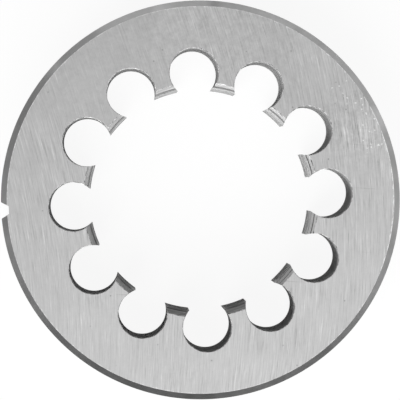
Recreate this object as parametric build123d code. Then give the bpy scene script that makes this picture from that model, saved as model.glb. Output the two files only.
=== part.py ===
from build123d import *
from math import cos, radians, sin, tan
import os

# Closed round threading die: one hardened and ground disc that cuts an outside thread on a rod.
# The thread's axis is Z. The origin is the centre of the lower face, and the groove faces -X.
# Lengths are millimetres and angles are degrees.

# The disc
outer_diameter = 90.0
thickness = 22.0
rim_chamfer = 1.35              # at 45 degrees, round both faces

# The thread, which runs through the whole bore (here to its crests, as a plain bore)
thread_diameter = 52.0
thread_pitch = 1.5
crest_factor = 1.2269           # metric rod: thread diameter less its root diameter, in pitches

# The lead-in cones at both mouths, which start the cut
lead_in_clearance = 0.45        # the mouth's radius beyond the thread's own
lead_in_angle = 30.0            # of the cone's side to the axis

# The ring of chip holes, which break into the bore and leave the cutting lands between them
chip_hole_count = 12
chip_hole_diameter = 11.0
chip_hole_offset = 3.678        # from the crests out to the centre of a chip hole
chip_hole_edge_break = 0.1      # at 45 degrees, at both ends of each hole

# The V-groove down the rim, where the die may be split, in line with one chip hole
groove_angle = 60.0
groove_depth = 1.8
groove_floor = 1.7

# The conical dimples in the rim, for the holder's screws, in mirrored pairs about the groove
dimple_diameter = 8.0
dimple_angle = 90.0
dimple_bearings = (45.0, 105.0)

# How far a cutting solid runs past the face that it cuts
overrun = 1.0

outer_radius = outer_diameter / 2
crest_radius = (thread_diameter - crest_factor * thread_pitch) / 2
mouth_radius = thread_diameter / 2 + lead_in_clearance
lead_in_length = (mouth_radius - crest_radius) / tan(radians(lead_in_angle))
chip_hole_radius = chip_hole_diameter / 2
chip_circle_radius = crest_radius + chip_hole_offset
groove_bearing = 180.0


def turned(profile):
    # A solid of revolution about Z, from (radius, height) corners.
    outline = Polyline(*[(radius, 0, height) for radius, height in profile], close=True)
    return revolve(make_face(outline), axis=Axis.Z)


def blank():
    # The disc with its chamfered rim, its bore and the cone at each mouth.
    return turned([
        (mouth_radius, 0),
        (outer_radius - rim_chamfer, 0),
        (outer_radius, rim_chamfer),
        (outer_radius, thickness - rim_chamfer),
        (outer_radius - rim_chamfer, thickness),
        (mouth_radius, thickness),
        (crest_radius, thickness - lead_in_length),
        (crest_radius, lead_in_length),
    ])


def chip_drill():
    # The material that one chip hole takes out, with the break of its edge at each end.
    widened = chip_hole_radius + chip_hole_edge_break
    return turned([
        (0, -overrun),
        (widened, -overrun),
        (widened, 0),
        (chip_hole_radius, chip_hole_edge_break),
        (chip_hole_radius, thickness - chip_hole_edge_break),
        (widened, thickness),
        (widened, thickness + overrun),
        (0, thickness + overrun),
    ])


def chip_holes():
    # Evenly spaced, the first one in line with the groove.
    ring = PolarLocations(chip_circle_radius, chip_hole_count, start_angle=groove_bearing)
    return [place * chip_drill() for place in ring]


def groove_cutter():
    # The groove's flared section, run past both faces and out past the rim.
    reach = groove_depth + overrun
    half_floor = groove_floor / 2
    half_mouth = half_floor + reach * tan(radians(groove_angle / 2))
    section = make_face(Polyline(
        (0, -half_floor),
        (reach, -half_mouth),
        (reach, half_mouth),
        (0, half_floor),
        close=True,
    ))
    cutter = extrude(section, thickness + 2 * overrun)
    floor_centre = Location((outer_radius - groove_depth, 0, -overrun))
    return Rotation(0, 0, groove_bearing) * floor_centre * cutter


def dimple_cutter(bearing):
    # A cone on the radius at this bearing, halfway up the rim, with its point towards the axis.
    slope = tan(radians(dimple_angle / 2))
    depth = dimple_diameter / 2 / slope
    height = depth + overrun
    cone = Cone(height * slope, 0, height, align=(Align.CENTER, Align.CENTER, Align.MIN))
    outward = Vector(cos(radians(bearing)), sin(radians(bearing)), 0)
    base = outward * (outer_radius + overrun) + Vector(0, 0, thickness / 2)
    return Plane(origin=base, z_dir=-outward) * cone


def dimples():
    # Each bearing is counted from the groove, to both sides of it.
    sides = [groove_bearing + side * bearing for bearing in dimple_bearings for side in (1, -1)]
    return [dimple_cutter(bearing) for bearing in sides]


def threading_die():
    die = blank() - chip_holes()
    die -= groove_cutter()
    die -= dimples()
    return die


os.makedirs("parts", exist_ok=True)
export_step(threading_die(), "parts/die_body.step")
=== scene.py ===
from math import cos, pi, radians, sin, tan

import bmesh
import bpy
from mathutils import Matrix, Vector


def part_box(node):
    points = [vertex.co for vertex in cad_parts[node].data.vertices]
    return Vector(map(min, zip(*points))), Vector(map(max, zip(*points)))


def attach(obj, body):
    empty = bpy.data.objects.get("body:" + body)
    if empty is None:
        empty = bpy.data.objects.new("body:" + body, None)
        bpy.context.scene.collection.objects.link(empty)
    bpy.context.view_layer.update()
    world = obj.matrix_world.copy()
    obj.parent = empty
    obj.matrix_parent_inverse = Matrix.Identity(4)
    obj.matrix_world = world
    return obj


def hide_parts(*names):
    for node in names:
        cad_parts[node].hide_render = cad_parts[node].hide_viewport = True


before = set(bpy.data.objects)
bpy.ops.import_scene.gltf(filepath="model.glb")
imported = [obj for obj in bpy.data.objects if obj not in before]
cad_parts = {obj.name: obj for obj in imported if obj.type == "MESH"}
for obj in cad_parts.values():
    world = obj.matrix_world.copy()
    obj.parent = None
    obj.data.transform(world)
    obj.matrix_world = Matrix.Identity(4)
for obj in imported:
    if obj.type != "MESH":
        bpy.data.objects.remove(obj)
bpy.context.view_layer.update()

mm = 0.001
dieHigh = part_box("die_body")[1] / mm     # the disc's own radius and thickness
print("frame loaded:", sorted(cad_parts))


# Node trees. A value that is a socket is linked, and any other is set.

def feed(tree, socket, value):
    if isinstance(value, bpy.types.NodeSocket):
        tree.links.new(value, socket)
    else:
        socket.default_value = value


def addNode(tree, kind, inputs=None, **settings):
    node = tree.nodes.new(kind)
    for name, value in settings.items():
        setattr(node, name, value)
    for key, value in (inputs or {}).items():
        feed(tree, node.inputs[key], value)
    return node


def calc(tree, operation, first, second=0.0, third=0.0):
    node = addNode(tree, "ShaderNodeMath", {0: first, 1: second, 2: third}, operation=operation)
    return node.outputs[0]


def vectorCalc(tree, operation, output, **inputs):
    # The inputs are named in the order in which the node has them, apart from Scale.
    values = {"Scale": inputs.pop("scale")} if "scale" in inputs else {}
    values.update(enumerate(inputs.values()))
    return addNode(tree, "ShaderNodeVectorMath", values, operation=operation).outputs[output]


def combine(tree, x=0.0, y=0.0, z=0.0):
    return addNode(tree, "ShaderNodeCombineXYZ", {0: x, 1: y, 2: z}).outputs[0]


def remap(tree, value, fromLow, fromHigh, toLow, toHigh, smooth=False):
    kind = "SMOOTHSTEP" if smooth else "LINEAR"
    ends = {0: value, 1: fromLow, 2: fromHigh, 3: toLow, 4: toHigh}
    return addNode(tree, "ShaderNodeMapRange", ends, interpolation_type=kind).outputs[0]


def noiseOf(tree, vector, scale, detail, roughness=0.5, output=0):
    values = {"Vector": vector, "Scale": scale, "Detail": detail, "Roughness": roughness}
    return addNode(tree, "ShaderNodeTexNoise", values).outputs[output]


def vary(tree, pattern, share, base):
    # Adds a share of a pattern that swings about a half.
    return calc(tree, "MULTIPLY_ADD", calc(tree, "SUBTRACT", pattern, 0.5), share, base)


def greyOf(tree, value):
    return addNode(tree, "ShaderNodeCombineColor", {0: value, 1: value, 2: value}).outputs[0]


def bumpOf(tree, height, distance):
    # distance is in millimetres
    values = {"Height": height, "Distance": distance * mm, "Strength": 1.0}
    return addNode(tree, "ShaderNodeBump", values).outputs[0]


def newGroup(name, kind, inputs, outputs):
    group = bpy.data.node_groups.new(name, kind)
    for label, socketType, value in inputs:
        socket = group.interface.new_socket(label, in_out="INPUT", socket_type=socketType)
        if value is not None:
            socket.default_value = value
    for label, socketType in outputs:
        group.interface.new_socket(label, in_out="OUTPUT", socket_type=socketType)
    start = group.nodes.new("NodeGroupInput")
    end = group.nodes.new("NodeGroupOutput")
    return group, start.outputs, end.inputs


# Effects shared by several materials
noiseEnds = (0.35, 0.65)        # where most of a noise's values lie
wideEnds = (0.25, 0.75)         # and nearly all of them


def makeToolLines():
    # Fine lines left by a wheel or a cutter: narrow across, long along, as a height about zero.
    # The height times its own size leaves fewer and clearer lines.
    number = "NodeSocketFloat"
    group, given, result = newGroup("toolLines", "ShaderNodeTree", [
        ("Across", number, 0.0), ("Along", number, 0.0), ("Width", number, 0.3),
        ("Length", number, 10.0), ("Seed", number, 0.0)], [("Lines", number)])
    across = calc(group, "DIVIDE", given["Across"], given["Width"])
    along = calc(group, "DIVIDE", given["Along"], given["Length"])
    noise = noiseOf(group, combine(group, across, along, given["Seed"]), scale=1.0, detail=2.0)
    height = remap(group, noise, *wideEnds, -1.0, 1.0)
    feed(group, result["Lines"], calc(group, "MULTIPLY", height, calc(group, "ABSOLUTE", height)))
    return group


def makeSpecks():
    # Scattered small pits and nicks, as a mask. Share is how many of the cells hold one.
    number = "NodeSocketFloat"
    group, given, result = newGroup("specks", "ShaderNodeTree", [
        ("Vector", "NodeSocketVector", None), ("Spacing", number, 4.0),
        ("Share", number, 0.3), ("Size", number, 0.1)], [("Mask", number)])
    density = calc(group, "DIVIDE", 1.0, given["Spacing"])
    cells = addNode(group, "ShaderNodeTexVoronoi", {"Vector": given["Vector"], "Scale": density}).outputs
    near = remap(group, cells["Distance"], given["Size"], 0.0, 0.0, 1.0)
    lot = addNode(group, "ShaderNodeSeparateColor", {0: cells["Color"]}).outputs[0]
    chosen = calc(group, "LESS_THAN", lot, given["Share"])
    feed(group, result["Mask"], calc(group, "MULTIPLY", near, chosen))
    return group


toolLines = makeToolLines()
specks = makeSpecks()


def mixLines(tree, across, along, layers):
    # Several sizes of tool line. Each has a width, a length and a weight.
    firstSeed, seedStep = 3.0, 5.0
    total = 0.0
    for index, (width, length, weight) in enumerate(layers):
        values = {"Across": across, "Along": along, "Width": width, "Length": length,
                  "Seed": firstSeed + seedStep * index}
        layer = addNode(tree, "ShaderNodeGroup", values, node_tree=toolLines).outputs[0]
        total = calc(tree, "MULTIPLY_ADD", layer, weight, total)
    return total


def scatter(tree, vector, values):
    return addNode(tree, "ShaderNodeGroup", {"Vector": vector, **values}, node_tree=specks).outputs[0]


def newSteel(name, finish):
    # A bare material, and where on the die it is, in millimetres
    material = bpy.data.materials.new(name)
    material.use_nodes = True
    tree = material.node_tree
    shader = tree.nodes["Principled BSDF"].inputs
    shader["Metallic"].default_value = finish["metallic"]
    shader["Specular IOR Level"].default_value = finish["specular"]
    place = vectorCalc(tree, "SCALE", 0, of=addNode(tree, "ShaderNodeTexCoord").outputs["Object"],
                       scale=1 / mm)
    axes = addNode(tree, "ShaderNodeSeparateXYZ", {0: place}).outputs
    x, y, z = axes["X"], axes["Y"], axes["Z"]
    radius = vectorCalc(tree, "LENGTH", "Value", of=combine(tree, x, y))
    return material, tree, shader, {"place": place, "x": x, "y": y, "z": z, "radius": radius}


def angleAt(tree, at):
    return calc(tree, "ARCTAN2", at["y"], at["x"])


# The two faces. Lengths are in millimetres, and a noise is its scale, detail and roughness.
groundFinish = {
    "metallic": 1.0,
    "specular": 0.5,
    "grey": 0.64,
    "roughness": 0.36,
    "clouds": (0.8, 5.0, 0.7),  # the fine mottle
    "patches": (0.07, 3.0),     # and broad lighter and darker parts
    "bursts": (0.16, 2.0),      # where the lines come and go
    "cloudRoughness": 0.10,     # how much the roughness varies from place to place
    "lineRoughness": 0.04,
    "lineDepth": 0.003,
    "slant": 0.061,             # how far the wheel's lines lean at the middle of the face
    "sweepUp": 0.0026,          # how much more they lean per millimetre up
    "sweepLeft": 0.0019,        # and to the left
    "lines": ((0.3, 9.0, 0.55), (0.45, 20.0, 0.23), (1.2, 30.0, 0.07), (4.0, 60.0, 0.05),
              (0.2, 4.0, 0.5)),
    "contrast": 0.31,
    "burstShares": (0.6, 1.2),  # how strong the lines are where they fade, and where they bite
    "mottle": 0.15,
    "patchTone": 0.12,
    # Places on the face, as x, y and reach
    "stain": (37.5, 15.5, 14.0),    # handled most
    "rubbed": (-19.0, 32.0, 27.0),  # lines rubbed down
    "mottled": (9.0, 39.0, 27.0),   # blotched most
    "stainLines": 0.9,
    "stainMottle": 2.0,
    "rubbedLines": 0.45,
    "rubbedMottle": 0.35,
    "mottledMottle": 1.6,
    # Pits, nicks near the stained edge lightened as painted glints, scratches with the lines, and a few
    # marks across them
    "pits": {"Spacing": 2.4, "Share": 0.3, "Size": 0.11},
    "pitShade": 0.45,
    "nicks": {"Spacing": 0.8, "Size": 0.3},
    "nickShare": 0.5,
    "nickGlint": 0.7,
    "nickRadii": (38.0, 42.0),
    "nickInside": 0.1,          # share of the nicks that lie further in
    "nickNoise": (2.5, 1.0),
    "nickShake": 0.7,           # how far from round they are
    "scratches": {"Spacing": 2.6, "Share": 0.35, "Size": 0.3},
    "scratchStretch": (5.0, 0.5),
    "scratchLight": 0.12,
    "marks": {"Spacing": 4.0, "Share": 0.07, "Size": 0.22},
    "markSlope": 0.12,
    "markStretch": (0.22, 6.0),
    "markShade": 0.2,
}
# Painted highlight: a thin light line inside the rim's chamfer, broken by small nicks
edgeHighlightFinish = {
    "radius": 43.5,
    "offset": 0.12,             # from there out to the middle of the line
    "narrow": 2.0,              # how much finer its grain is across than along
    "grain": (0.9, 4.0, 0.7),
    "grainEnds": (0.47, 0.75),
    "width": 0.42,
    "light": 0.2,
    "plusXFrom": (38.0, 42.5),   # the line is wider and lighter towards larger x, from one x to the other
    "plusXGrain": 0.05,
    "plusXLight": 0.32,
}


def spotOf(tree, at, spot):
    # 1 in the middle of a place on the upper face, fading to 0 at its reach
    x, y, reach = spot
    core = 0.3                  # share of the reach that is full
    away = vectorCalc(tree, "DISTANCE", "Value", of=at["place"], to=(x, y, dieHigh.z))
    return remap(tree, away, reach, reach * core, 0.0, 1.0, smooth=True)


def stretched(tree, x, y, z, factors):
    wide, high = factors
    return combine(tree, calc(tree, "MULTIPLY", x, wide), calc(tree, "MULTIPLY", y, high), z)


# Adds the painted highlight line along the rim's edge to a tone
def paintedEdgeHighlight(tree, at, tone):
    b = edgeHighlightFinish
    rolled = stretched(tree, angleAt(tree, at), at["radius"], 0.0, (b["radius"], b["narrow"]))
    plusX = remap(tree, at["x"], *b["plusXFrom"], 0.0, 1.0, smooth=True)
    grain = calc(tree, "MULTIPLY_ADD", plusX, b["plusXGrain"], noiseOf(tree, rolled, *b["grain"]))
    width = remap(tree, grain, *b["grainEnds"], 0.0, b["width"])
    away = calc(tree, "ABSOLUTE", calc(tree, "SUBTRACT", at["radius"], b["radius"] + b["offset"]))
    light = remap(tree, plusX, 0.0, 1.0, b["light"], b["plusXLight"])
    return calc(tree, "MULTIPLY_ADD", calc(tree, "LESS_THAN", away, width), light, tone)


def makeGroundSteel():
    f = groundFinish
    material, tree, shader, at = newSteel("groundSteel", f)
    place, x, y = at["place"], at["x"], at["y"]

    # The wheel's lines, which lean more towards the upper left
    lean = calc(tree, "MULTIPLY_ADD", y, f["sweepUp"], f["slant"])
    lean = calc(tree, "SUBTRACT", lean, calc(tree, "MULTIPLY", x, f["sweepLeft"]))
    across = calc(tree, "MULTIPLY_ADD", y, lean, x)
    lines = mixLines(tree, across, y, f["lines"])

    # How much of the lines and of the mottle shows at each place
    stained = spotOf(tree, at, f["stain"])
    rubbed = spotOf(tree, at, f["rubbed"])
    mottled = spotOf(tree, at, f["mottled"])
    cloud = noiseOf(tree, place, *f["clouds"])
    patches = noiseOf(tree, place, *f["patches"])
    bursts = noiseOf(tree, place, *f["bursts"])
    lineShare = calc(tree, "ADD", remap(tree, bursts, *noiseEnds, *f["burstShares"]),
                     calc(tree, "MULTIPLY", stained, f["stainLines"]))
    lineShare = calc(tree, "MULTIPLY", lineShare, remap(tree, rubbed, 0.0, 1.0, 1.0, f["rubbedLines"]))
    worst = calc(tree, "MAXIMUM", stained, calc(tree, "MULTIPLY", rubbed, f["rubbedMottle"]))
    mottleShare = calc(tree, "MULTIPLY_ADD", worst, f["mottle"] * f["stainMottle"], f["mottle"])
    mottleShare = calc(tree, "MULTIPLY_ADD", mottled, f["mottle"] * f["mottledMottle"], mottleShare)

    # Pits, nicks lightened as painted glints, scratches and marks
    pits = scatter(tree, place, f["pits"])
    edgeShare = remap(tree, at["radius"], *f["nickRadii"], f["nickInside"], 1.0)
    nickShare = calc(tree, "MULTIPLY", calc(tree, "MULTIPLY", stained, edgeShare), f["nickShare"])
    shake = noiseOf(tree, place, *f["nickNoise"], output="Color")
    shaken = vectorCalc(tree, "MULTIPLY_ADD", 0, of=shake, by=(f["nickShake"],) * 3, to=place)
    nicks = scatter(tree, shaken, {**f["nicks"], "Share": nickShare})
    scratches = scatter(tree, stretched(tree, across, y, at["z"], f["scratchStretch"]), f["scratches"])
    sloped = calc(tree, "MULTIPLY_ADD", x, f["markSlope"], y)
    marks = scatter(tree, stretched(tree, x, sloped, at["z"], f["markStretch"]), f["marks"])

    tone = calc(tree, "MULTIPLY_ADD", calc(tree, "MULTIPLY", lines, lineShare), f["contrast"], f["grey"])
    tone = vary(tree, cloud, mottleShare, tone)
    tone = vary(tree, patches, f["patchTone"], tone)
    tone = calc(tree, "MULTIPLY_ADD", scratches, f["scratchLight"], tone)
    tone = calc(tree, "MULTIPLY_ADD", marks, -f["markShade"], tone)
    # Painted glints: the nicks are made much lighter
    tone = calc(tree, "MULTIPLY_ADD", nicks, f["nickGlint"], tone)
    tone = calc(tree, "MULTIPLY", tone, remap(tree, pits, 0.0, 1.0, 1.0, f["pitShade"]))
    feed(tree, shader["Base Color"], greyOf(tree, paintedEdgeHighlight(tree, at, tone)))
    uneven = vary(tree, cloud, f["cloudRoughness"], f["roughness"])
    feed(tree, shader["Roughness"], calc(tree, "MULTIPLY_ADD", lines, f["lineRoughness"], uneven))
    feed(tree, shader["Normal"], bumpOf(tree, lines, f["lineDepth"]))
    return material


# The rim, its chamfers and the groove
turnedFinish = {
    "metallic": 1.0,
    "specular": 0.5,
    "grey": 0.40,
    "roughness": 0.34,
    "lines": ((0.25, 12.0, 0.6), (0.7, 40.0, 0.4)),
    "lineDepth": 0.002,
    "contrast": 0.3,
    "radius": 45.0,             # where the lines have the lengths above
    "patches": (0.25, 4.0, 0.6),
    "patchTone": 0.16,
    "patchRoughness": 0.2,
    "pits": {"Spacing": 1.6, "Share": 0.3, "Size": 0.14},
    "pitShade": 0.7,
}
# The chip holes, left dark from hardening
drilledFinish = {
    "metallic": 0.0,
    "specular": 0.2,
    "grey": 0.46,
    "depthShade": 0.72,         # painted shade: how light the middle of a hole is beside its mouths
    "deepFrom": 0.3,            # share of the way from the middle to a mouth that is darkest under the painted shade
    "roughness": 0.85,
    "lines": ((0.35, 8.0, 0.7), (1.6, 20.0, 0.3)),
    "lineDepth": 0.006,
    "contrast": 0.3,
    "patches": (0.5, 5.0, 0.6),
    "patchTone": 0.22,
    "patchRoughness": 0.2,
}
# Satin surfaces that a countersink or a tap has cut
cutFinish = {
    "metallic": 0.1,
    "specular": 0.3,
    "roughness": 0.5,
    "lineDepth": 0.004,
    "radius": 26.0,
    "patches": (0.35, 4.0, 0.5),
    "patchTone": 0.2,
    "patchRoughness": 0.15,
}
leadInFinish = {
    **cutFinish,
    "grey": 0.555,
    "lines": ((0.4, 12.0, 0.65), (1.1, 30.0, 0.35)),
    "contrast": 0.48,
    "brightTo": 26.3,           # painted shade: the cone is lightest at its mouth and darker further in
    "darkFrom": 25.1,
    "rootShade": 0.85,
}
threadFinish = {
    **cutFinish,
    "grey": 0.37,
    "lines": ((0.3, 8.0, 0.6), (1.2, 16.0, 0.4)),
    "contrast": 0.5,
    "brightTo": 25.15,
    "darkFrom": 25.9,           # painted shade: the thread is darkest at its root
    "rootShade": 0.3,
}


def roundAxis(tree, at, f):
    # Lines round the die's axis
    across = calc(tree, "ADD", at["z"], at["radius"])
    return across, calc(tree, "MULTIPLY", angleAt(tree, at), f["radius"])


def roundHole(tree, at, f):
    # Rings down each chip hole
    return at["z"], calc(tree, "ADD", at["x"], at["y"])


def pitted(tree, at, f):
    return remap(tree, scatter(tree, at["place"], f["pits"]), 0.0, 1.0, 1.0, f["pitShade"])


# Painted shade: the chip holes are darker towards the middle of their depth
def paintedShadeByDepth(tree, at, f):
    middle = dieHigh.z / 2
    depth = calc(tree, "ABSOLUTE", calc(tree, "SUBTRACT", at["z"], middle))
    return remap(tree, depth, middle, middle * f["deepFrom"], 1.0, f["depthShade"], smooth=True)


# Painted shade: lighter at one radius and darker at another, down into the thread's roots and towards
# the lead-in cones' inner ends
def paintedShadeByRadius(tree, at, f):
    return remap(tree, at["radius"], f["brightTo"], f["darkFrom"], 1.0, f["rootShade"])


def makeLinedSteel(name, f, follow, shadeOf):
    # follow says which way the tool's lines run, and shadeOf where the steel is darker, from its pits or
    # from painted shade.
    material, tree, shader, at = newSteel(name, f)
    across, along = follow(tree, at, f)
    lines = mixLines(tree, across, along, f["lines"])
    patches = noiseOf(tree, at["place"], *f["patches"])
    tone = calc(tree, "MULTIPLY_ADD", lines, f["contrast"], f["grey"])
    tone = vary(tree, patches, f["patchTone"], tone)
    tone = calc(tree, "MULTIPLY", tone, shadeOf(tree, at, f))
    feed(tree, shader["Base Color"], greyOf(tree, tone))
    feed(tree, shader["Roughness"], vary(tree, patches, f["patchRoughness"], f["roughness"]))
    feed(tree, shader["Normal"], bumpOf(tree, lines, f["lineDepth"]))
    return material


wornFinish = {
    "metallic": 0.1,
    "specular": 0.3,
    "grey": 0.42,
    "roughness": 0.45,
    "roughnessSwing": 0.1,
    "nicks": 0.45,              # how much lighter and darker than the grey they are
    "nickNoise": (1 / 1.3, 4.0, 0.7),
    "depth": 0.02,
}


def makeWornEdge():
    # The broken edges of the holes and the bore: rubbed bright, and nicked in places
    f = wornFinish
    material, tree, shader, at = newSteel("wornEdge", f)
    rubbed = noiseOf(tree, at["place"], *f["nickNoise"])
    swing = f["roughnessSwing"]
    light = remap(tree, rubbed, *noiseEnds, -f["nicks"], f["nicks"])
    rough = remap(tree, rubbed, *noiseEnds, f["roughness"] + swing, f["roughness"] - swing)
    feed(tree, shader["Base Color"], greyOf(tree, calc(tree, "ADD", f["grey"], light)))
    feed(tree, shader["Roughness"], rough)
    feed(tree, shader["Normal"], bumpOf(tree, rubbed, f["depth"]))
    return material


groundSteel = makeGroundSteel()
turnedSteel = makeLinedSteel("turnedSteel", turnedFinish, roundAxis, pitted)
drilledSteel = makeLinedSteel("drilledSteel", drilledFinish, roundHole, paintedShadeByDepth)
leadInSteel = makeLinedSteel("leadInSteel", leadInFinish, roundAxis, paintedShadeByRadius)
wornEdge = makeWornEdge()
threadSteel = makeLinedSteel("threadSteel", threadFinish, roundAxis, paintedShadeByRadius)
print("materials made")


# The die. Its sizes are in millimetres, and the disc's own come from the frame.
dieSizes = {
    "outerRadius": dieHigh.x,
    "thickness": dieHigh.z,
    "rimChamfer": 1.35,
    "threadRadius": 26.0,
    "pitch": 1.5,
    "threadAngle": 60.0,
    "crestDepth": 0.9202,       # from the thread's root down to its crest, along the radius
    "crestFlat": 0.25,          # the thread's flats along the axis
    "rootFlat": 0.1875,
    "toolInside": 0.25,         # how far the thread's tool reaches inside the crests, to cut them clean
    "spareTurns": 2.0,          # its turns past the faces, in all
    "mouthClearance": 0.45,     # how far the lead-in cones open past the thread's root
    "leadInAngle": 30.0,
    "chipHoles": 12,
    "chipHoleRadius": 5.5,
    "chipHoleOffset": 3.678,    # from the crests out to the chip circle
    "edgeBreak": 0.12,          # the broken edges of the chip holes
    "mouthBreak": 0.15,         # and of the bore
    "grooveAngle": 60.0,
    "grooveDepth": 1.8,
    "grooveFloor": 1.7,
    "grooveBearing": 180.0,
    "dimpleRadius": 4.0,
    "dimpleBearings": (45.0, 105.0),    # to both sides of the groove
    "overrun": 1.0,             # how far the other tools pass the faces
    "roundSteps": 720,          # facets round the rim and the bore
    "holeSteps": 128,
    "turnSteps": 480,           # steps in one turn of the thread
    "mergeWithin": 0.0003,      # points closer than this become one
    "sharpFrom": 20.0,          # edges that turn more than this stay sharp, in degrees
    "faceUp": 0.999,            # a facet whose normal is this near the axis is ground
}


def finishMesh(name, mesh, materials):
    data = bpy.data.meshes.new(name)
    mesh.to_mesh(data)
    mesh.free()
    for material in materials:
        data.materials.append(material)
    piece = bpy.data.objects.new(name, data)
    bpy.context.scene.collection.objects.link(piece)
    return piece


def makeTurned(name, profile, steps, materials):
    # Spins (radius, height, material) corners about Z. Each corner's material is that of the side
    # which starts there. The profile runs from the axis to the axis.
    mesh = bmesh.new()
    rings = []
    for radius, height, _ in profile:
        turn = [2 * pi * i / steps for i in range(steps if radius > 0 else 1)]
        rings.append([mesh.verts.new((radius * cos(t), radius * sin(t), height)) for t in turn])
    for low, high, (_, _, slot) in zip(rings, rings[1:], profile):
        if min(len(low), len(high)) == 1:
            point, rim = (low[0], high) if len(low) == 1 else (high[0], low)
            if point.co.z == rim[0].co.z:
                sides = [rim]
            else:
                sides = [(point, rim[i - 1], rim[i]) for i in range(steps)]
        else:
            sides = [(low[i - 1], low[i], high[i], high[i - 1]) for i in range(steps)]
        for corners in sides:
            mesh.faces.new(corners).material_index = slot
    bmesh.ops.delete(mesh, geom=[v for v in mesh.verts if not v.link_faces], context="VERTS")
    bmesh.ops.recalc_face_normals(mesh, faces=mesh.faces)
    return finishMesh(name, mesh, materials)


def makePrism(name, section, low, high, materials):
    mesh = bmesh.new()
    base = mesh.faces.new([mesh.verts.new((x, y, low)) for x, y in section])
    top = bmesh.ops.extrude_face_region(mesh, geom=[base])
    moved = [item for item in top["geom"] if isinstance(item, bmesh.types.BMVert)]
    bmesh.ops.translate(mesh, verts=moved, vec=(0, 0, high - low))
    bmesh.ops.recalc_face_normals(mesh, faces=mesh.faces)
    return finishMesh(name, mesh, materials)


def makeBlank(s):
    outer, chamfer, height = s["outerRadius"], s["rimChamfer"], s["thickness"]
    return makeTurned("blank", [
        (0, 0, 0), (outer - chamfer, 0, 0), (outer, chamfer, 0), (outer, height - chamfer, 0),
        (outer - chamfer, height, 0), (0, height, 0)], s["roundSteps"], [turnedSteel])


def makeBorer(s):
    # The bore at the thread's crests, with a lead-in cone and a broken edge at each mouth
    crest, mouth, over, top = s["crestRadius"], s["mouthRadius"], s["overrun"], s["thickness"]
    flare = tan(radians(s["leadInAngle"]))
    wide = tan(radians(90 - s["leadInAngle"]))
    edge = s["mouthBreak"]
    length = s["leadInLength"]
    start = mouth + edge + over * wide
    edgeRadius = mouth - edge * flare / wide
    edgeHeight = edge / wide
    lead, bore, broken = 0, 1, 2        # the materials, in the order given below
    profile = [
        (0, -over, lead), (start, -over, broken), (edgeRadius, edgeHeight, lead),
        (crest, length, bore), (crest, top - length, lead),
        (edgeRadius, top - edgeHeight, broken), (start, top + over, lead), (0, top + over, lead)]
    return makeTurned("borer", profile, s["roundSteps"], [leadInSteel, threadSteel, wornEdge])


def makeChipDrill(s):
    radius, edge, over, top = s["chipHoleRadius"], s["edgeBreak"], s["overrun"], s["thickness"]
    wide = radius + edge + over
    drilled, broken = 0, 1              # the materials, in the order given below
    profile = [
        (0, -over, drilled), (wide, -over, broken), (radius, edge, drilled),
        (radius, top - edge, broken), (wide, top + over, drilled), (0, top + over, drilled)]
    return makeTurned("chipDrill", profile, s["holeSteps"], [drilledSteel, wornEdge])


def makeGrooveCutter(s):
    reach = s["grooveDepth"] + s["overrun"]
    floorX = s["grooveDepth"] - s["outerRadius"]
    half = s["grooveFloor"] / 2
    wide = half + reach * tan(radians(s["grooveAngle"] / 2))
    section = [(floorX, -half), (floorX, half), (floorX - reach, wide), (floorX - reach, -wide)]
    top = s["thickness"] + s["overrun"]
    return makePrism("grooveCutter", section, -s["overrun"], top, [turnedSteel])


def makeDimpleDrill(s):
    # A 90 degree cone with its point at the origin, opening along Z
    reach = s["dimpleRadius"] + s["overrun"]
    profile = [(0, 0, 0), (reach, reach, 0), (0, reach, 0)]
    return makeTurned("dimpleDrill", profile, s["holeSteps"], [turnedSteel])


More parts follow.
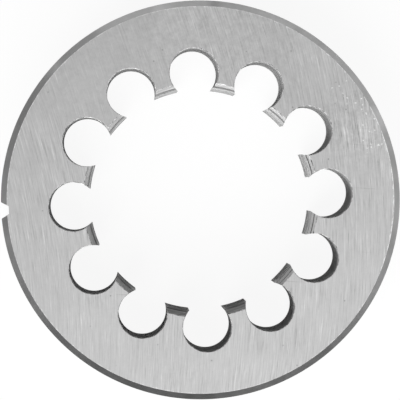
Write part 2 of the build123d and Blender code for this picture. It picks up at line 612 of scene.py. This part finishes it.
def makeMachining(s, tools):
    # Cuts the blank as the shop does: bore, thread, chip holes, groove, dimples and ground faces
    names = ["Chip Circle", "Pitch", "Crest Radius", "Thread Radius", "Crest Flat", "Root Flat",
             "Thickness"]
    number, whole, solid = "NodeSocketFloat", "NodeSocketInt", "NodeSocketGeometry"
    inputs = [("Geometry", solid, None), ("Chip Holes", whole, 12), ("Turn Steps", whole, 360)]
    inputs += [(name, number, 1.0) for name in names]
    inputs += [(name, "NodeSocketObject", None) for name in tools]
    tree, given, result = newGroup("machining", "GeometryNodeTree", inputs, [("Geometry", solid)])
    quarterTurn = radians(90)

    def solidOf(name):
        return addNode(tree, "GeometryNodeObjectInfo", {"Object": given[name]}).outputs["Geometry"]

    def cut(stock, cutter):
        solids = {"Mesh 1": stock, "Mesh 2": cutter}
        return addNode(tree, "GeometryNodeMeshBoolean", solids, operation="DIFFERENCE",
                       solver="MANIFOLD").outputs["Mesh"]

    def placed(geometry, **where):
        values = {"Geometry": geometry}
        values.update({name.capitalize(): value for name, value in where.items()})
        return addNode(tree, "GeometryNodeTransform", values).outputs[0]

    def madeOf(geometry, material, **chosen):
        values = {"Geometry": geometry, "Material": material}
        values.update({name.capitalize(): value for name, value in chosen.items()})
        return addNode(tree, "GeometryNodeSetMaterial", values).outputs[0]

    # The thread: a trapezoid tool carried along a helix, from below the disc to above it
    spare, inside = s["spareTurns"], s["toolInside"]
    turns = calc(tree, "ADD", calc(tree, "DIVIDE", given["Thickness"], given["Pitch"]), spare)
    height = calc(tree, "MULTIPLY", turns, given["Pitch"])
    threadDepth = calc(tree, "SUBTRACT", given["Thread Radius"], given["Crest Radius"])
    toolDepth = calc(tree, "ADD", threadDepth, inside)
    middle = calc(tree, "SUBTRACT", given["Thread Radius"], calc(tree, "MULTIPLY", toolDepth, 0.5))
    flank = 2 * inside * tan(radians(s["threadAngle"] / 2))
    wide = calc(tree, "ADD", calc(tree, "SUBTRACT", given["Pitch"], given["Crest Flat"]), flank)
    helix = addNode(tree, "GeometryNodeCurveSpiral", {
        "Resolution": given["Turn Steps"], "Rotations": turns, "Start Radius": middle,
        "End Radius": middle, "Height": height}).outputs[0]
    upright = addNode(tree, "GeometryNodeSetCurveNormal", {"Curve": helix}, mode="Z_UP").outputs[0]
    section = addNode(tree, "GeometryNodeCurvePrimitiveQuadrilateral", {
        "Bottom Width": wide, "Top Width": given["Root Flat"], "Offset": 0.0, "Height": toolDepth},
        mode="TRAPEZOID").outputs[0]
    swept = addNode(tree, "GeometryNodeCurveToMesh", {
        "Curve": upright, "Profile Curve": placed(section, rotation=(0, 0, quarterTurn)),
        "Fill Caps": True}).outputs[0]
    start = combine(tree, z=calc(tree, "MULTIPLY", given["Pitch"], -spare / 2))
    threadTool = madeOf(placed(swept, translation=start), threadSteel)

    # The chip holes: one drill on every point of the chip circle
    circle = addNode(tree, "GeometryNodeMeshCircle", {
        "Vertices": given["Chip Holes"], "Radius": given["Chip Circle"]}).outputs[0]
    drills = addNode(tree, "GeometryNodeInstanceOnPoints", {
        "Points": circle, "Instance": solidOf("Chip Drill")}).outputs[0]
    drills = addNode(tree, "GeometryNodeRealizeInstances", {"Geometry": drills}).outputs[0]

    # The dimples, pointed at the axis
    dimples = addNode(tree, "GeometryNodeJoinGeometry")
    point = (s["outerRadius"] - s["dimpleRadius"], 0, s["thickness"] / 2)
    for bearing in s["dimpleBearings"]:
        for side in (1, -1):
            aimed = placed(solidOf("Dimple Drill"), rotation=(0, quarterTurn, 0), translation=point)
            turn = radians(s["grooveBearing"] + side * bearing)
            tree.links.new(placed(aimed, rotation=(0, 0, turn)), dimples.inputs[0])

    stock = given["Geometry"]
    for cutter in (solidOf("Borer"), threadTool, drills, solidOf("Groove Cutter"), dimples.outputs[0]):
        stock = cut(stock, cutter)
    scaled = placed(stock, scale=(mm, mm, mm))
    single = addNode(tree, "GeometryNodeRealizeInstances", {"Geometry": scaled}).outputs[0]
    normal = addNode(tree, "GeometryNodeInputNormal").outputs["Normal"]
    rise = addNode(tree, "ShaderNodeSeparateXYZ", {0: normal}).outputs["Z"]
    isFace = addNode(tree, "FunctionNodeCompare", {0: calc(tree, "ABSOLUTE", rise), 1: s["faceUp"]},
                     operation="GREATER_THAN").outputs[0]
    feed(tree, result[0], madeOf(single, groundSteel, selection=isFace))
    return tree


def setInputs(modifier, values):
    sockets = {item.name: item.identifier for item in modifier.node_group.interface.items_tree
               if item.in_out == "INPUT"}
    for name, value in values.items():
        modifier[sockets[name]] = value


def makeDie():
    s = dieSizes
    s["crestRadius"] = s["threadRadius"] - s["crestDepth"]
    s["mouthRadius"] = s["threadRadius"] + s["mouthClearance"]
    s["leadInLength"] = (s["mouthRadius"] - s["crestRadius"]) / tan(radians(s["leadInAngle"]))
    tools = {"Borer": makeBorer(s), "Chip Drill": makeChipDrill(s), "Groove Cutter": makeGrooveCutter(s),
             "Dimple Drill": makeDimpleDrill(s)}
    blank = makeBlank(s)
    machining = blank.modifiers.new("machining", "NODES")
    machining.node_group = makeMachining(s, tools)
    setInputs(machining, {
        "Chip Holes": s["chipHoles"], "Turn Steps": s["turnSteps"],
        "Chip Circle": s["crestRadius"] + s["chipHoleOffset"], "Pitch": s["pitch"],
        "Crest Radius": s["crestRadius"], "Thread Radius": s["threadRadius"],
        "Crest Flat": s["crestFlat"], "Root Flat": s["rootFlat"], "Thickness": s["thickness"], **tools})
    bpy.context.view_layer.update()
    evaluated = blank.evaluated_get(bpy.context.evaluated_depsgraph_get())
    mesh = bpy.data.meshes.new_from_object(evaluated)
    mesh.name = "die"
    merged = bmesh.new()
    merged.from_mesh(mesh)
    bmesh.ops.remove_doubles(merged, verts=merged.verts, dist=s["mergeWithin"] * mm)
    merged.to_mesh(mesh)
    merged.free()
    mesh.shade_smooth()
    mesh.set_sharp_from_angle(angle=radians(s["sharpFrom"]))
    made = bpy.data.objects.new("die", mesh)
    bpy.context.scene.collection.objects.link(made)
    for spent in (blank, *tools.values()):
        bpy.data.objects.remove(spent)
    return made


die = makeDie()
print("die machined:", len(die.data.polygons), "faces, materials", [m.name for m in die.data.materials])
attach(die, "root")
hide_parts("die_body")


# Floor, light and camera
studio = {
    "floorSize": 6.0,
    "floorWhite": 0.92,         # share of plain white that the floor shows under and round the die
    "floorGrey": 0.22,          # the paper itself
    "floorPale": 1.0,           # and as the camera sees it
    "whiteReach": (0.07, 0.12),     # from where to where the white fades into the paper, in metres
    "ambient": 0.02,            # what matt surfaces get from all round
    "skyGrey": 0.35,            # what metal and the camera see overhead
    "horizonDark": 0.22,        # and low down, away from the cards
    "horizonRise": (0.1, 0.4),  # how high the horizon ends and the sky is full, as a direction's Z
    # White cards low down: the side each stands on, where its light starts and is full, and its level
    "cards": (((0.79, 0.61), -0.4, 0.75, 2.05), ((-0.99, 0.14), 0.45, 0.95, 0.5)),
}


def seenOf(tree):
    # 1 for rays from the camera and for those that metal or glass turns, otherwise 0
    sight = addNode(tree, "ShaderNodeLightPath").outputs
    turned = calc(tree, "MAXIMUM", sight["Is Glossy Ray"], sight["Is Transmission Ray"])
    return calc(tree, "MAXIMUM", sight["Is Camera Ray"], turned)


def makeFloor():
    bpy.ops.mesh.primitive_plane_add(size=studio["floorSize"])
    floor = bpy.context.object
    floor.name = "floor"
    material = bpy.data.materials.new("floorPaper")
    material.use_nodes = True
    tree = material.node_tree
    tree.nodes.clear()
    place = addNode(tree, "ShaderNodeTexCoord").outputs["Object"]
    away = vectorCalc(tree, "LENGTH", "Value", of=place)
    white = remap(tree, away, *studio["whiteReach"], studio["floorWhite"], 0.0, smooth=True)
    sight = addNode(tree, "ShaderNodeLightPath").outputs["Is Camera Ray"]
    shade = remap(tree, sight, 0.0, 1.0, studio["floorGrey"], studio["floorPale"])
    paper = addNode(tree, "ShaderNodeBsdfDiffuse", {"Color": greyOf(tree, shade)}).outputs[0]
    glow = addNode(tree, "ShaderNodeEmission", {"Color": (1, 1, 1, 1), "Strength": 1.0}).outputs[0]
    share = calc(tree, "MULTIPLY", seenOf(tree), white)
    mixed = addNode(tree, "ShaderNodeMixShader", {0: share, 1: paper, 2: glow}).outputs[0]
    addNode(tree, "ShaderNodeOutputMaterial", {"Surface": mixed})
    floor.data.materials.append(material)


def makeWorld():
    world = bpy.data.worlds.new("studio")
    bpy.context.scene.world = world
    world.use_nodes = True
    tree = world.node_tree
    direction = addNode(tree, "ShaderNodeTexCoord").outputs["Generated"]
    horizon = studio["horizonDark"]
    for side, start, full, level in studio["cards"]:
        toward = vectorCalc(tree, "DOT_PRODUCT", "Value", of=direction, to=(*side, 0.0))
        horizon = calc(tree, "ADD", horizon, remap(tree, toward, start, full, 0.0, level, smooth=True))
    rise = addNode(tree, "ShaderNodeSeparateXYZ", {0: direction}).outputs["Z"]
    overhead = remap(tree, rise, *studio["horizonRise"], horizon, studio["skyGrey"], smooth=True)
    shown = remap(tree, seenOf(tree), 0.0, 1.0, studio["ambient"], overhead)
    background = tree.nodes["Background"]
    feed(tree, background.inputs["Color"], greyOf(tree, shown))
    background.inputs["Strength"].default_value = 1.0


cameraView = {
    "height": 740.0,            # above the upper face, in millimetres
    "sideways": -18.0,          # where the camera stands over the die, across and up the picture
    "upward": 5.5,
    "roll": 3.0,                # degrees that the die is turned in the picture, anticlockwise
    "lens": 295.9,
    "sensor": 36.0,
    "clipStart": 0.01,
    "aim": (-0.165, 0.0),       # the picture's middle on the upper face, in millimetres
}


def makeCamera():
    v = cameraView
    turn = Matrix.Rotation(radians(-v["roll"]), 3, "Z")
    faceHeight = dieSizes["thickness"] * mm
    middle = Vector((0, 0, faceHeight))
    aim = turn @ (Vector((*v["aim"], 0)) * mm) + middle
    place = turn @ (Vector((v["sideways"], v["upward"], v["height"])) * mm) + middle
    back = (place - aim).normalized()
    across = (turn @ Vector((0, 1, 0))).cross(back).normalized()
    camera = bpy.data.objects.new("camera", bpy.data.cameras.new("camera"))
    bpy.context.scene.collection.objects.link(camera)
    camera.data.lens = v["lens"]
    camera.data.sensor_width = v["sensor"]
    camera.data.clip_start = v["clipStart"]
    axes = Matrix((across, back.cross(across), back)).transposed()
    camera.matrix_world = Matrix.Translation(place) @ axes.to_4x4()
    bpy.context.scene.camera = camera


lamps = {
    "topLight": {"place": (0.1, -0.5, 1.25), "size": (1.3, 1.3), "radiance": 0.84, "glossy": True},
    "keyLight": {"place": (-0.1, -0.9, 0.85), "size": (2.6, 0.5), "radiance": 5.0, "glossy": False},
    "highLight": {"place": (-0.35, -0.45, 1.2), "size": (0.5, 0.5), "radiance": 6.0, "glossy": False},
    "fillLight": {"place": (-0.9, -0.6, 0.45), "size": (0.6, 0.4), "radiance": 5.6, "glossy": False},
}


def addLamp(name, spec):
    # An area lamp of a given radiance, aimed at the die
    wide, high = spec["size"]
    light = bpy.data.lights.new(name, "AREA")
    light.shape = "RECTANGLE"
    light.size = wide
    light.size_y = high
    light.energy = spec["radiance"] * pi * wide * high
    lamp = bpy.data.objects.new(name, light)
    bpy.context.scene.collection.objects.link(lamp)
    lamp.location = spec["place"]
    lamp.rotation_euler = (-Vector(spec["place"])).to_track_quat("-Z", "Y").to_euler()
    lamp.visible_glossy = spec["glossy"]


makeFloor()
makeWorld()
makeCamera()
for lampName, lampSpec in lamps.items():
    addLamp(lampName, lampSpec)
bpy.context.scene.view_settings.view_transform = "Standard"
print("studio made:", ", ".join(lamps))
